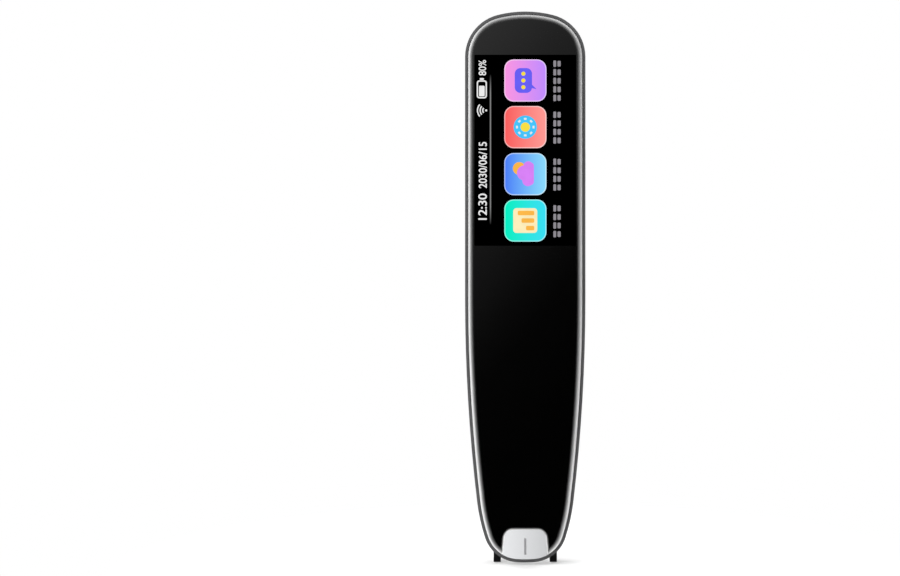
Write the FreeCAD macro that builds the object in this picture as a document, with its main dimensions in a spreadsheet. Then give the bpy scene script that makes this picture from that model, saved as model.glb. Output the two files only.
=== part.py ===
import FreeCAD, Part
import math
import os
import re
import Sketcher

# A pen-shaped scanning translator, held upright with its scanning tip down.
# +Z runs up the pen, the glass face looks along -Y and the side keys are on +X.
# Heights in the sheet are measured from the soles of the tip's two feet. The origin is the
# centre of the hand grip, so every piece is set down by grip_height.

DRIVING = {
    # Overall form
    "pen_length": 147.4, "pen_width": 32.1, "pen_depth": 13.0, "grip_height": 46.0,
    "sole_to_rim": 0.45, "crown_radius": 30.0, "crown_corner": 11.5,
    "rim_radius": 29.0, "rim_half": 2.5275, "nose_radius": 9.5, "nose_half": 10.7346,
    "cheek_radius": 50.0, "cheek_half": 12.83,
    # Shell, frame and glass
    "shell_wall": 1.2, "back_round": 5.0, "rim_wall": 0.7, "rim_below_face": 1.05,
    "rim_depth": 1.25, "ledge_reach": 1.9, "tongue_depth": 1.2, "fit_gap": 0.1,
    "glass_thickness": 1.5, "glass_round": 1.3, "gasket_thickness": 0.15,
    # Aiming window in the tip of the glass
    "window_top": 9.3, "window_top_half": 5.35, "window_foot_half": 6.35, "window_round": 2.3,
    "window_gap": 0.05, "bay_half": 6.6, "bay_top": 9.9,
    # Open tip
    "notch_half": 7.2, "notch_top": 11.7, "notch_flare": 9.4, "notch_bow": 0.4,
    "ear_foot": 4.4, "foot_inner": 6.6, "foot_outer": 8.5, "foot_head": 5.0,
    "foot_front": -2.6, "foot_back": 3.6, "foot_round": 0.5, "foot_roll": 2.6,
    "leg_inner": 6.0, "leg_front": -2.85, "leg_gap": 0.45, "bar_height": 1.3,
    "bar_depth": 1.6, "slide_gap": 0.2, "tip_travel": 0.6,
    # Scanner above the tip
    "baffle_gap": 1.2, "baffle_thickness": 0.8, "lens_view": 3.0, "lens_radius": 2.4,
    "lens_height": 0.5, "barrel_radius": 3.0, "barrel_length": 9.7, "led_board_half": 6.0,
    "led_board_gap": 0.5, "board_thickness": 0.8, "led_offset": 4.7, "led_size": 1.2,
    "camera_board_half": 6.8, "camera_centre": 1.1,
    "switch_margin": 7.85, "switch_size": 3.0, "switch_height": 3.2, "plunger_radius": 0.6,
    "plunger_gap": 0.08, "plunger_length": 3.2,
    # Display
    "display_margin": 2.35, "display_drop": 11.0, "display_length": 52.2,
    "display_thickness": 1.6, "flex_half": 5.0, "flex_thickness": 0.15,
    # Chassis, board and what is on it
    "chassis_thickness": 0.8, "chassis_foot": 24.6, "chassis_drop": 4.4,
    "pad_height": 0.5, "pad_size": 2.4, "board_margin": 5.05, "board_drop": 5.9,
    "board_lead": 1.2, "can_margin": 1.5, "can_lift": 4.5, "can_gap": 8.6,
    "can_height": 1.5, "plug_height": 1.0, "plug_length": 2.4, "plug_margin": 0.5,
    "chip_length": 4.0, "chip_width": 2.4, "chip_height": 1.1, "chip_margin": 2.4,
    # Screws
    "screw_drop": 4.4, "screw_upper_margin": 3.95, "screw_lower": 27.8,
    "screw_lower_margin": 6.45, "screw_radius": 0.7, "screw_head_radius": 1.3,
    "screw_head_height": 0.6, "screw_length": 4.0, "boss_radius": 1.7, "screw_gap": 0.04,
    # Battery
    "battery_margin": 4.85, "battery_foot": 32.0, "battery_gap": 7.4,
    "battery_thickness": 6.0, "battery_round": 1.2, "tape_thickness": 0.1,
    "tape_margin": 1.0, "guard_board_half": 8.0, "guard_board_height": 2.6,
    # Speaker and its grille
    "speaker_drop": 19.9, "speaker_radius": 9.0, "speaker_depth": 3.2,
    "speaker_gasket": 0.7, "cup_wall": 0.8, "grille_radius": 7.85, "grille_blank": 3.3,
    "grille_pitch": 1.77, "hole_large": 0.55, "hole_small": 0.24, "mesh_thickness": 0.15,
    # Side keys
    "key_drop": 24.3, "key_spacing": 16.45, "key_length": 9.6, "key_width": 2.2,
    "key_proud": 0.2, "key_bevel": 0.3, "key_gap": 0.12, "key_flange": 0.7, "key_flange_lip": 0.7,
    "key_nub": 0.5, "key_nub_size": 1.4, "key_travel": 0.25, "key_slack": 0.06,
    "key_switch_height": 1.0, "key_switch_size": 2.8, "key_board_thickness": 0.4,
    "key_board_half": 1.8, "key_board_margin": 3.0,
    # Card slot
    "card_drop": 24.85, "card_width": 12.9, "card_thickness": 1.4, "card_depth": 15.0,
    "card_wall": 0.25, "nail_length": 7.2, "nail_depth": 0.6, "nail_reach": 1.25,
    # Charging socket and microphone in the top end
    "usb_width": 8.34, "usb_opening": 2.56, "usb_wall": 0.3, "usb_length": 7.35,
    "usb_recess": 0.9, "usb_gap": 0.15, "tongue_width": 6.7, "tongue_thickness": 0.7,
    "tongue_inset": 1.0, "mic_margin": 3.0, "mic_size": 2.6, "mic_height": 1.0,
    "mic_hole": 0.45, "edge_margin": 0.4,
}

DERIVED = {
    "face": "-pen_depth / 2",
    "back": "pen_depth / 2",
    "half_width": "pen_width / 2",
    "rim_face": "face + rim_below_face",
    "parting": "rim_face + rim_depth",
    "glass_back": "face + glass_thickness",
    "ledge_face": "glass_back + gasket_thickness",
    "tongue_end": "parting + tongue_depth",
    "tongue_inset_outer": "shell_wall + fit_gap",
    "display_back": "ledge_face + display_thickness",
    "chassis_front": "tongue_end + fit_gap",
    "chassis_back": "chassis_front + chassis_thickness",
    "board_front": "chassis_back + pad_height",
    "board_back": "board_front + board_thickness",
    "inner_back": "back - shell_wall",
    "inner_side": "half_width - shell_wall",
    "display_half": "half_width - display_margin",
    "display_head": "pen_length - display_drop",
    "display_foot": "display_head - display_length",
    "chassis_head": "pen_length - chassis_drop",
    "board_half": "half_width - board_margin",
    "board_head": "pen_length - board_drop",
    "board_foot": "display_foot - board_lead",
    "card_height": "pen_length - card_drop",
    "can_half": "board_half - can_margin",
    "can_foot": "board_foot + can_lift",
    "can_head": "card_height - card_width / 2 - can_gap",
    "chip_offset": "board_half - chip_margin",
    "mic_offset": "board_half - mic_margin",
    "screw_upper": "board_foot - screw_drop",
    "screw_upper_side": "half_width - screw_upper_margin",
    "screw_lower_side": "half_width - screw_lower_margin",
    "battery_half": "half_width - battery_margin",
    "battery_head": "board_foot - battery_gap - guard_board_height",
    "speaker_height": "pen_length - speaker_drop",
    "key_upper": "pen_length - key_drop",
    "key_lower": "key_upper - key_spacing",
    "switch_offset": "half_width - switch_margin",
    "bar_top": "notch_top",
    "beyond": "pen_width",
    "baffle_foot": "notch_top + baffle_gap",
    "baffle_head": "baffle_foot + baffle_thickness",
    "led_board_foot": "baffle_head + led_board_gap",
    "led_board_head": "led_board_foot + board_thickness",
    "lens_foot": "baffle_head + 0.1",
    "barrel_foot": "lens_foot + lens_height",
    "camera_board_foot": "barrel_foot + barrel_length",
    "speaker_front": "inner_back - speaker_gasket",
    "speaker_back": "speaker_front - speaker_depth",
    "key_flange_top": "inner_side - key_slack",
    "key_flange_foot": "key_flange_top - key_flange",
    "key_nub_foot": "key_flange_foot - key_nub",
    "switch_top": "key_nub_foot - key_travel - key_slack",
    "switch_foot": "switch_top - key_switch_height",
    "usb_mouth": "pen_length - usb_recess",
    "usb_centre": "board_back + usb_opening / 2 + usb_wall",
    "card_centre": "board_back + card_wall + card_thickness / 2",
    "flex_fold": "board_foot - 0.9",
    "plug_foot": "board_foot + 1.0",
}

HOLE_SIDES = 8
SHANK_SIDES = 8
SOCKET_SIDES = 6

doc = FreeCAD.newDocument("translator_pen")
sheet = doc.addObject("Spreadsheet::Sheet", "Sizes")
NODES = []


def fill_sheet():
    """Write every named size to its own aliased cell, the worked-out ones as formulas."""
    row = 1
    for alias, value in DRIVING.items():
        sheet.set(f"A{row}", alias)
        sheet.set(f"B{row}", str(value))
        sheet.setAlias(f"B{row}", alias)
        row += 1
    doc.recompute()
    for alias, formula in DERIVED.items():
        sheet.set(f"A{row}", alias)
        sheet.set(f"B{row}", "=" + formula)
        sheet.setAlias(f"B{row}", alias)
        row += 1
        doc.recompute()


def size(alias):
    """A size from the sheet, as a plain number."""
    return float(sheet.get(alias))


def expr(text):
    """The same formula with each size name pointed at the sheet."""
    return re.sub(r"[a-z][a-z_]+[a-z]", lambda m: "Sizes." + m.group(0), text)


def bind(obj, prop, text):
    obj.setExpression(prop, expr(text))


def node(obj, label):
    """Register a finished sub-part under the name of its file."""
    obj.Label = label
    NODES.append(obj)
    return obj


def seat(obj, x, y, z):
    """Bind an object's place; z is a height above the soles."""
    bind(obj, "Placement.Base.x", x)
    bind(obj, "Placement.Base.y", y)
    bind(obj, "Placement.Base.z", f"{z} - grip_height")


def block(name, x, y, z):
    """A box between pairs of formulas along X, Y and Z."""
    box = doc.addObject("Part::Box", name)
    for prop, (low, high) in (("Length", x), ("Width", y), ("Height", z)):
        bind(box, prop, f"({high}) - ({low})")
    seat(box, x[0], y[0], z[0])
    return box


def rod(name, radius, length, place, direction=(0, 0, 1)):
    """A cylinder that starts at place and runs along direction."""
    cylinder = doc.addObject("Part::Cylinder", name)
    bind(cylinder, "Radius", radius)
    bind(cylinder, "Height", length)
    turn = FreeCAD.Rotation(FreeCAD.Vector(0, 0, 1), FreeCAD.Vector(*direction))
    cylinder.Placement = FreeCAD.Placement(FreeCAD.Vector(), turn)
    seat(cylinder, *place)
    return cylinder


def cut(name, base, tools):
    result = doc.addObject("Part::Cut", name)
    result.Base = base
    result.Tool = tools[0] if len(tools) == 1 else fuse(name + "_tools", tools)
    return result


def fuse(name, parts):
    result = doc.addObject("Part::MultiFuse", name)
    result.Shapes = parts
    return result


def solid_feature(name, shape):
    """A sub-part whose form is worked out from the sheet by this file's own functions."""
    feature = doc.addObject("Part::Feature", name)
    feature.Shape = shape
    feature.Placement = FreeCAD.Placement(
        FreeCAD.Vector(0, 0, -size("grip_height")), FreeCAD.Rotation()
    )
    return feature


# Outline of the pen in the XZ plane: tangent arcs from the rim's lowest point, round the
# nose and the cheek, up a long faint flank, then a straight side, a corner and the crown.

def outline_edges(inset):
    """Edges of the right half of the outline, moved inwards by inset."""
    half = size("half_width")

    def arc(cx, cz, radius, start, end):
        reach = radius - inset

        def point(turn):
            return FreeCAD.Vector(cx + reach * math.sin(turn), 0, cz - reach * math.cos(turn))

        return Part.Arc(point(start), point((start + end) / 2), point(end)).toShape()

    edges = []
    x = 0.0
    z = size("sole_to_rim")
    turn = 0.0
    for stretch in ("rim", "nose", "cheek"):
        radius = size(stretch + "_radius")
        cx = x - radius * math.sin(turn)
        cz = z + radius * math.cos(turn)
        x = size(stretch + "_half")
        end = math.asin((x - cx) / radius)
        edges.append(arc(cx, cz, radius, turn, end))
        z = cz - radius * math.cos(end)
        turn = end
    flank = (half - x) / (1 - math.sin(turn))
    flank_height = z + flank * math.cos(turn)
    edges.append(arc(half - flank, flank_height, flank, turn, math.pi / 2))

    crown = size("crown_radius")
    corner = size("crown_corner")
    lean = math.asin((half - corner) / (crown - corner))
    crown_height = size("pen_length") - crown
    corner_height = crown_height + (crown - corner) * math.cos(lean)
    side = half - inset
    edges.append(Part.LineSegment(
        FreeCAD.Vector(side, 0, flank_height), FreeCAD.Vector(side, 0, corner_height)
    ).toShape())
    edges.append(arc(half - corner, corner_height, corner, math.pi / 2, math.pi - lean))
    edges.append(arc(0, crown_height, crown, math.pi - lean, math.pi))
    return edges


def slab(inset, front, back):
    """The outline, moved inwards by inset, as a solid between two depths."""
    right = outline_edges(inset)
    left = [edge.mirror(FreeCAD.Vector(), FreeCAD.Vector(1, 0, 0)) for edge in right]
    wire = Part.Wire(Part.__sortEdges__(right + left))
    solid = Part.Face(wire).extrude(FreeCAD.Vector(0, back - front, 0))
    solid.translate(FreeCAD.Vector(0, front, 0))
    return solid


def rounded_slab(inset, front, back, radius, rounded):
    """A slab whose edge at the depth given by rounded is rounded."""
    solid = slab(inset, front, back)
    edges = []
    for edge in solid.Edges:
        box = edge.BoundBox
        if abs(box.YMin - rounded) < 1e-6 and abs(box.YMax - rounded) < 1e-6:
            edges.append(edge)
    return solid.makeFillet(radius, edges)


def box_between(x, y, z):
    solid = Part.makeBox(x[1] - x[0], y[1] - y[0], z[1] - z[0])
    solid.translate(FreeCAD.Vector(x[0], y[0], z[0]))
    return solid


def pin_between(x, z, radius, front, back):
    """A round solid along Y between two depths."""
    return Part.makeCylinder(radius, back - front, FreeCAD.Vector(x, front, z),
                             FreeCAD.Vector(0, 1, 0))


def prism_between(x, z, radius, front, back, sides):
    """A many-sided solid along Y between two depths, as wide across corners as a round one."""
    turns = [2 * math.pi * side / sides for side in range(sides + 1)]
    corners = [FreeCAD.Vector(x + radius * math.cos(turn), front, z + radius * math.sin(turn))
               for turn in turns]
    return Part.Face(Part.makePolygon(corners)).extrude(FreeCAD.Vector(0, back - front, 0))


def notch_prism(gap):
    """The open tip's outline through the back: a flat top and sides that flare to the ears'
    feet, all moved inwards by gap."""
    top = size("notch_top")
    foot = size("ear_foot")
    half = size("notch_half") - gap
    flare = size("notch_flare") - gap
    front = size("parting")

    def corner(x, z):
        return FreeCAD.Vector(x, front, z)

    edges = [Part.makeLine(corner(-half, top), corner(half, top)),
             Part.makeLine(corner(flare, -foot), corner(-flare, -foot))]
    for side in (-1, 1):
        middle = corner(side * ((half + flare) / 2 - size("notch_bow")), (top + foot) / 2)
        edges.append(Part.Arc(corner(side * half, top), middle,
                              corner(side * flare, foot)).toShape())
        edges.append(Part.makeLine(corner(side * flare, foot), corner(side * flare, -foot)))
    wire = Part.Wire(Part.__sortEdges__(edges))
    return Part.Face(wire).extrude(FreeCAD.Vector(0, size("pen_depth"), 0))


def stadium(length, width, height):
    """A long round-ended solid, its length along Z and its height along +X from the origin."""
    reach = (length - width) / 2
    radius = width / 2
    middle = box_between((0, height), (-radius, radius), (-reach, reach))
    ends = [Part.makeCylinder(radius, height, FreeCAD.Vector(0, 0, side * reach),
                              FreeCAD.Vector(1, 0, 0)) for side in (-1, 1)]
    return middle.fuse(ends).removeSplitter()


def grille_holes():
    """Centres and radii of the speaker holes: a hexagonal grid whose holes are largest in
    the middle of the ring and shrink towards its inner and outer edges."""
    pitch = size("grille_pitch")
    outer = size("grille_radius")
    blank = size("grille_blank")
    middle = (outer + blank) / 2
    holes = []
    rows = int(outer / pitch) + 1
    for row in range(-rows, rows + 1):
        shift = pitch / 2 if row % 2 else 0.0
        for column in range(-rows - 1, rows + 2):
            x = column * pitch + shift
            z = (row + 0.5) * pitch
            distance = math.hypot(x, z)
            if blank <= distance <= outer:
                share = abs(distance - middle) / (outer - middle)
                step = size("hole_large") - size("hole_small")
                holes.append((x, z, size("hole_large") - step * share ** 1.5))
    return holes


def screw_places():
    """Side and height of each of the four housing screws."""
    pairs = (("screw_upper_side", "screw_upper"), ("screw_lower_side", "screw_lower"))
    return [(side * size(x), size(z)) for x, z in pairs for side in (-1, 1)]


def make_rear_shell():
    """Metal tub with rolled back edges, open at the glass side and at the scanning tip."""
    wall = size("shell_wall")
    back = size("back")
    parting = size("parting")
    inner_back = size("inner_back")
    far = size("pen_depth")
    shell = rounded_slab(0, parting, back, size("back_round"), back)
    hollow = rounded_slab(wall, parting, inner_back, size("back_round") - wall, inner_back)
    shell = shell.cut(hollow)

    bosses = []
    bores = []
    boss_front = size("chassis_back")
    for x, z in screw_places():
        bosses.append(pin_between(x, z, size("boss_radius"), boss_front, inner_back + wall / 2))
        bore_end = size("chassis_front") + size("screw_length") + size("fit_gap")
        bores.append(pin_between(x, z, size("screw_radius") + size("screw_gap"),
                                 boss_front - 1, bore_end))
    cup_outer = size("speaker_radius") + size("fit_gap") + size("cup_wall")
    cup_front = size("speaker_back") + size("speaker_depth") / 2
    cup = pin_between(0, size("speaker_height"), cup_outer, cup_front, inner_back + wall / 2)
    cup_bore = pin_between(0, size("speaker_height"),
                           size("speaker_radius") + size("fit_gap"), cup_front, inner_back)
    middle_of_wall = rounded_slab(wall / 2, parting, back - wall / 2,
                                  size("back_round") - wall / 2, back - wall / 2)
    posts = Part.makeCompound(bosses + [cup.cut(cup_bore)]).common(middle_of_wall)
    shell = shell.fuse(posts.Solids).cut(bores)

    cuts = [notch_prism(0),
            box_between((-far, far), (parting, far), (-1, size("ear_foot")))]
    for x, z, radius in grille_holes():
        cuts.append(prism_between(x, z + size("speaker_height"), radius,
                                  inner_back - wall / 2, far, HOLE_SIDES))
    key_slot_length = size("key_length") + 2 * size("key_gap")
    key_slot_width = size("key_width") + 2 * size("key_gap")
    for key_height in (size("key_upper"), size("key_lower")):
        slot = stadium(key_slot_length, key_slot_width, 3 * wall)
        slot.translate(FreeCAD.Vector(size("inner_side") - wall, 0, key_height))
        cuts.append(slot)
    cuts += card_cuts()
    cuts += top_end_cuts()
    return shell.cut(cuts)


def card_cuts():
    """Slot through the left wall and the shallow crescent for a fingernail behind it."""
    wall = size("shell_wall")
    slot = stadium(size("card_width"), size("card_thickness"), 3 * wall)
    slot.translate(FreeCAD.Vector(-size("half_width") - wall, size("card_centre"),
                                  size("card_height")))
    half = size("nail_length") / 2
    reach = size("nail_reach")
    radius = (half ** 2 + reach ** 2) / (2 * reach)
    crescent = Part.makeCylinder(
        radius, size("nail_depth") + wall,
        FreeCAD.Vector(-size("half_width") - wall,
                       size("card_centre") + reach - radius, size("card_height")),
        FreeCAD.Vector(1, 0, 0))
    behind = box_between((-size("pen_width"), 0), (size("card_centre"), size("pen_depth")),
                         (size("card_height") - half, size("card_height") + half))
    return [slot, crescent.common(behind)]


def top_end_cuts():
    """Mouth of the charging socket and the microphone's port in the crown."""
    gap = size("usb_gap") + size("usb_wall")
    depth = size("usb_length")
    mouth = stadium(size("usb_width") + 2 * gap, size("usb_opening") + 2 * gap, 2 * depth)
    mouth.rotate(FreeCAD.Vector(), FreeCAD.Vector(0, 1, 0), -90)
    mouth.translate(FreeCAD.Vector(0, size("usb_centre"), size("pen_length") - depth))
    port = Part.makeCylinder(size("mic_hole"), size("beyond"), FreeCAD.Vector(
        size("mic_offset"), size("board_back") + size("mic_height") / 2,
        size("board_head")))
    return [mouth, port]


def make_front_frame():
    """Bezel: outer rim, a ledge that carries the glass and a tongue inside the shell."""
    rim = slab(0, size("rim_face"), size("parting"))
    rim = rim.cut(slab(size("rim_wall"), size("rim_face") - 1, size("ledge_face")))
    tongue = slab(size("tongue_inset_outer"), size("parting"), size("tongue_end"))
    opening = slab(size("ledge_reach"), size("rim_face") - 1, size("tongue_end") + 1)
    frame = rim.fuse(tongue).cut(opening)
    bay = box_between((-size("bay_half"), size("bay_half")),
                      (size("ledge_face") - 0.01, size("pen_depth")), (-1, size("bay_top")))
    bay = bay.common(slab(size("rim_wall"), -size("pen_depth"), size("pen_depth")))
    return frame.cut(bay)


def window_prism(gap):
    """The aiming window's outline through the whole glass: a trapezium with round shoulders."""
    top = size("window_top") + gap
    low = -1.0
    top_half = size("window_top_half") + gap
    low_half = size("window_foot_half") + gap
    corners = [(-low_half, low), (low_half, low), (top_half, top), (-top_half, top)]
    points = [FreeCAD.Vector(x, size("face") - 1, z) for x, z in corners]
    prism = Part.Face(Part.makePolygon(points + points[:1])).extrude(
        FreeCAD.Vector(0, size("glass_thickness") + 2, 0))
    shoulders = []
    for edge in prism.Edges:
        box = edge.BoundBox
        if box.YLength > 1 and box.ZMin > top - 1e-6:
            shoulders.append(edge)
    return prism.makeFillet(size("window_round"), shoulders)


def whole_glass():
    """Cover glass before the window is parted from it, its front edge rounded over."""
    inset = size("rim_wall") + size("fit_gap")
    return rounded_slab(inset, size("face"), size("glass_back"), size("glass_round"),
                        size("face"))


def make_glass_gasket():
    """Thin adhesive ring between the glass and the frame's ledge."""
    outer = slab(size("rim_wall") + 2 * size("fit_gap"), size("glass_back"),
                 size("ledge_face"))
    ring = outer.cut(slab(size("ledge_reach"), size("face"), size("back")))
    bay = box_between((-size("bay_half"), size("bay_half")), (size("face"), size("back")),
                      (-1, size("bay_top")))
    return ring.cut(bay)


def inner_block(gap, front, depth_gap):
    """Solid that fills the shell with a gap all round, from a depth to the back wall."""
    inset = size("shell_wall") + gap
    back = size("inner_back") - depth_gap
    return rounded_slab(inset, front, back, size("back_round") - inset, back)


def layer(low, high):
    """Everything between two named heights."""
    beyond = size("beyond")
    return box_between((-beyond, beyond), (-beyond, beyond), (size(low), size(high)))


def make_scan_baffle():
    """Black plate across the shell that closes the scanning chamber, with the lens's view,
    two light openings and the plunger's hole."""
    plate = inner_block(size("fit_gap"), size("chassis_front"), size("fit_gap")).common(
        layer("baffle_foot", "baffle_head"))
    middle = size("camera_centre")
    holes = [Part.makeCylinder(size("lens_view"), 5,
                               FreeCAD.Vector(0, middle, size("baffle_foot") - 1))]
    led_hole = size("led_size") / 2 + size("fit_gap")
    for side in (-1, 1):
        x = side * size("led_offset")
        holes.append(box_between((x - led_hole, x + led_hole),
                                 (middle - led_hole, middle + led_hole),
                                 (size("baffle_foot") - 1, size("baffle_head") + 1)))
    holes.append(Part.makeCylinder(
        size("plunger_radius") + size("slide_gap"), 5,
        FreeCAD.Vector(-size("switch_offset"), middle, size("baffle_foot") - 1)))
    return plate.cut(holes)


def span(side, inner, outer):
    """The interval between two named distances from the middle, on one side."""
    ends = (side * size(inner), side * size(outer))
    return (min(ends), max(ends))


def make_tip_bracket():
    """Sliding tip: two legs that fill the flared sides of the notch, a rolled foot under
    each, and a bar with a tab that works the switch."""
    top = size("bar_top")
    bar_foot = top - size("bar_height")
    body = inner_block(size("slide_gap"), size("leg_front"), size("slide_gap"))
    legs = body.common(notch_prism(size("leg_gap"))).cut(
        box_between((-size("leg_inner"), size("leg_inner")),
                    (-size("beyond"), size("beyond")), (-1, bar_foot)))
    bar_back = size("inner_back") - size("slide_gap")
    bar_front = bar_back - size("bar_depth")
    legs = legs.cut(box_between((-size("leg_inner"), size("leg_inner")),
                                (-size("beyond"), bar_front), (-1, size("beyond"))))
    feet = []
    for side in (-1, 1):
        foot = box_between(span(side, "foot_inner", "foot_outer"),
                           (size("foot_front"), size("foot_back")), (0, size("foot_head")))
        for radius, depth in (("foot_roll", "foot_back"), ("foot_round", "foot_front")):
            sole = [edge for edge in foot.Edges
                    if edge.BoundBox.ZMax < 1e-6
                    and abs(edge.BoundBox.YMin - size(depth)) < 1e-6
                    and edge.BoundBox.YLength < 1e-6]
            foot = foot.makeFillet(size(radius), sole)
        feet.append(foot)
    tab_half = 2 * size("plunger_radius")
    tab = box_between(
        (-size("switch_offset") - tab_half, -size("switch_offset") + tab_half),
        (size("camera_centre") - tab_half, bar_back - size("bar_depth") / 2),
        (bar_foot, top))
    bar = body.common(box_between((-size("beyond"), size("beyond")), (bar_front, bar_back),
                                  (bar_foot, top)))
    return legs.fuse(feet + [bar, tab]).removeSplitter()


def make_chassis():
    """Inner frame plate inside the shell, with pads for the board, screw holes and a slot
    for the display's flat cable."""
    inset = size("tongue_inset_outer")
    plate = slab(inset, size("chassis_front"), size("chassis_back")).common(
        layer("chassis_foot", "chassis_head"))
    pad = size("pad_size") / 2
    pads = []
    for side in (-1, 1):
        for height in (size("board_foot") + 2 * pad, size("board_head") - 2 * pad):
            x = side * (size("board_half") - pad)
            pads.append(box_between((x - pad, x + pad),
                                    (size("chassis_back") - 0.1, size("board_front")),
                                    (height - pad, height + pad)))
    slot_half = size("flex_half") + 3 * size("fit_gap")
    slot = box_between((-slot_half, slot_half), (-size("pen_depth"), size("pen_depth")),
                       (size("flex_fold") - 3 * size("fit_gap"),
                        size("flex_fold") + size("flex_thickness") + 3 * size("fit_gap")))
    holes = [pin_between(x, z, size("screw_radius") + size("fit_gap"), -size("pen_depth"),
                         size("pen_depth"))
             for x, z in screw_places()]
    return plate.fuse(pads).cut(holes + [slot])


def make_chassis_screws():
    """Four separate pan-head screws through the chassis into the shell's bosses."""
    front = size("chassis_front")
    screws = []
    for x, z in screw_places():
        head = pin_between(x, z, size("screw_head_radius"), front - size("screw_head_height"),
                           front)
        shank = prism_between(x, z, size("screw_radius"), front,
                              front + size("screw_length"), SHANK_SIDES)
        recess = prism_between(x, z, size("screw_radius") * 0.8,
                               front - size("screw_head_height"),
                               front - size("screw_head_height") / 2, SOCKET_SIDES)
        screws.append(head.fuse(shank).cut(recess))
    return Part.makeCompound(screws)


def body_at(name, x, y, z):
    body = doc.addObject("PartDesign::Body", name)
    seat(body, x, y, z)
    return body


def sketch_on(body, role, name, offset="0"):
    """A sketch on one of the body's own origin planes, moved along its normal."""
    sketch = body.newObject("Sketcher::SketchObject", name)
    plane = [item for item in body.Origin.OriginFeatures if item.Role == role][0]
    sketch.AttachmentSupport = [(plane, "")]
    sketch.MapMode = "FlatFace"
    if offset != "0":
        bind(sketch, "AttachmentOffset.Base.z", offset)
    return sketch


def named(sketch, constraint, name, formula):
    index = sketch.addConstraint(constraint)
    sketch.renameConstraint(index, name)
    bind(sketch, "Constraints." + name, formula)


def rectangle(sketch, width, height):
    """A rectangle centred on the sketch's origin, with both sides bound."""
    corners = [FreeCAD.Vector(x, y, 0) for x, y in ((-1, -1), (1, -1), (1, 1), (-1, 1))]
    for start, end in zip(corners, corners[1:] + corners[:1]):
        sketch.addGeometry(Part.LineSegment(start, end))
    for line in range(4):
        sketch.addConstraint(Sketcher.Constraint("Coincident", line, 2, (line + 1) % 4, 1))
    for line, kind in enumerate(("Horizontal", "Vertical", "Horizontal", "Vertical")):
        sketch.addConstraint(Sketcher.Constraint(kind, line))
    sketch.addConstraint(Sketcher.Constraint("Symmetric", 0, 1, 1, 2, -1, 1))
    named(sketch, Sketcher.Constraint("DistanceX", 0, 1, 0, 2, 2.0), "across", width)
    named(sketch, Sketcher.Constraint("DistanceY", 1, 1, 1, 2, 2.0), "up", height)


def round_slot(sketch, length, width, upright=True):
    """A round-ended slot centred on the sketch's origin, its length and width bound."""
    along = FreeCAD.Vector(0, 1, 0) if upright else FreeCAD.Vector(1, 0, 0)
    aside = FreeCAD.Vector(1, 0, 0) if upright else FreeCAD.Vector(0, -1, 0)
    up = FreeCAD.Vector(0, 0, 1)
    start = 0.0 if upright else -math.pi / 2
    for side, turn in ((1, start), (-1, start + math.pi)):
        circle = Part.Circle(along * (2 * side), up, 1)
        sketch.addGeometry(Part.ArcOfCircle(circle, turn, turn + math.pi))
    sketch.addGeometry(Part.LineSegment(aside - along * 2, aside + along * 2))
    sketch.addGeometry(Part.LineSegment(along * 2 - aside, along * -2 - aside))
    for first, end, second, start in ((0, 1, 2, 2), (0, 2, 3, 1), (1, 1, 3, 2), (1, 2, 2, 1)):
        sketch.addConstraint(Sketcher.Constraint("Tangent", first, end, second, start))
    axis = -2 if upright else -1
    for arc in (0, 1):
        sketch.addConstraint(Sketcher.Constraint("PointOnObject", arc, 3, axis))
    sketch.addConstraint(Sketcher.Constraint("Equal", 0, 1))
    kind = "DistanceY" if upright else "DistanceX"
    reach = f"(({length}) - ({width})) / 2"
    named(sketch, Sketcher.Constraint(kind, -1, 1, 0, 3, 2.0), "upper_reach", reach)
    named(sketch, Sketcher.Constraint(kind, 1, 3, -1, 1, 2.0), "lower_reach", reach)
    named(sketch, Sketcher.Constraint("Radius", 0, 1.0), "end_radius", f"({width}) / 2")


def pad(body, sketch, name, length, backwards=False):
    feature = body.newObject("PartDesign::Pad", name)
    feature.Profile = sketch
    bind(feature, "Length", length)
    feature.Reversed = backwards
    doc.recompute()
    return feature


def pocket(body, sketch, name, depth, backwards=False):
    feature = body.newObject("PartDesign::Pocket", name)
    feature.Profile = sketch
    bind(feature, "Length", depth)
    feature.Reversed = backwards
    doc.recompute()
    return feature


def ease_edges(body, base, name, kind, reach, picks):
    """Round or bevel the edges that picks accepts; kind is Fillet or Chamfer."""
    names = [f"Edge{i + 1}" for i, edge in enumerate(base.Shape.Edges) if picks(edge)]
    feature = body.newObject("PartDesign::" + kind, name)
    feature.Base = (base, names)
    bind(feature, "Radius" if kind == "Fillet" else "Size", reach)
    doc.recompute()


def make_side_key(name, height):
    """Long key: a cap through the wall, a lip behind the wall and a nub for its switch."""
    body = body_at(name, "key_flange_top", "0", height)
    cap = sketch_on(body, "YZ_Plane", name + "_cap_outline")
    round_slot(cap, "key_length", "key_width")
    cap_pad = pad(body, cap, name + "_cap",
                  "shell_wall + key_slack + key_proud")
    ease_edges(body, cap_pad, name + "_bevel", "Chamfer", "key_bevel",
               lambda edge: edge.BoundBox.XMin > size("shell_wall") + size("key_slack") / 2)
    lip = sketch_on(body, "YZ_Plane", name + "_lip_outline")
    round_slot(lip, "key_length + 2 * key_flange_lip", "key_width + 2 * key_flange_lip")
    pad(body, lip, name + "_lip", "key_flange", backwards=True)
    nub = sketch_on(body, "YZ_Plane", name + "_nub_outline", "-key_flange")
    rectangle(nub, "key_nub_size", "key_nub_size")
    pad(body, nub, name + "_nub", "key_nub", backwards=True)
    return body


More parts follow.
